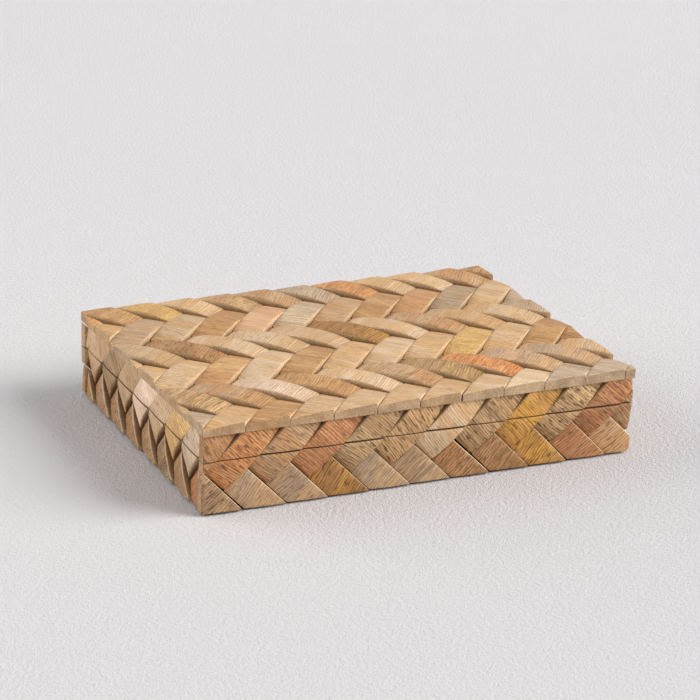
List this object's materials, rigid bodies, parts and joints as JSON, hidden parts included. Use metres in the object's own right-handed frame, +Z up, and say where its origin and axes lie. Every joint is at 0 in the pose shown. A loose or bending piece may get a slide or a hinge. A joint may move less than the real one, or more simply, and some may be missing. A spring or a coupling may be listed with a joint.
{
  "type": "wooden storage box",
  "caption": "Low rectangular wooden box with a hinged lid, clad in arched wooden tiles in a herringbone.",
  "frame": {"origin": "centre of the underside, at the middle of the tiled box", "axes": "+X along the length to the right of someone facing the front, -Y out of the front, +Z up"},
  "size_m": [0.25, 0.1861, 0.0502],
  "materials": {
    "tan_tiles": "waxed, satin",
    "grey_tan_tiles": "waxed, satin",
    "gold_tiles": "waxed, satin",
    "carcass_wood": "plain sanded",
    "felt": "matt",
    "brass": "satin"
  },
  "bodies": {
    "tray": {"felt_pad": "felt", "tray_panel": "carcass_wood", "tray_front_wall": "carcass_wood", "tray_back_wall": "carcass_wood", "tray_left_wall": "carcass_wood", "tray_right_wall": "carcass_wood", "tray_front_upper_tiles": "gold_tiles", "tray_front_lower_tiles": "tan_tiles", "tray_right_upper_tiles": "gold_tiles", "tray_right_lower_tiles": "tan_tiles", "tray_back_upper_tiles": "gold_tiles", "tray_back_lower_tiles": "tan_tiles", "tray_left_upper_tiles": "gold_tiles", "tray_left_lower_tiles": "tan_tiles", "tray_hinge_leaves": "brass", "hinge_pins": "brass", "tray_hinge_screws": "brass"},
    "lid": {"lid_panel": "carcass_wood", "lid_front_wall": "carcass_wood", "lid_back_wall": "carcass_wood", "lid_left_wall": "carcass_wood", "lid_right_wall": "carcass_wood", "lid_top_row_1": "tan_tiles", "lid_top_row_2": "grey_tan_tiles", "lid_top_row_3": "tan_tiles", "lid_top_row_4": "grey_tan_tiles", "lid_top_row_5": "gold_tiles", "lid_top_row_6": "grey_tan_tiles", "lid_front_tiles": "gold_tiles", "lid_right_tiles": "gold_tiles", "lid_back_tiles": "gold_tiles", "lid_left_tiles": "gold_tiles", "lid_hinge_leaves": "brass", "lid_hinge_screws": "brass"}
  },
  "joints": [
    {"name": "lid_hinge", "type": "hinge", "parent": "tray", "child": "lid", "pos_m": [0, 0.0932, 0.0297], "axis": [-1, 0, 0], "range_deg": [0, 100]}
  ]
}
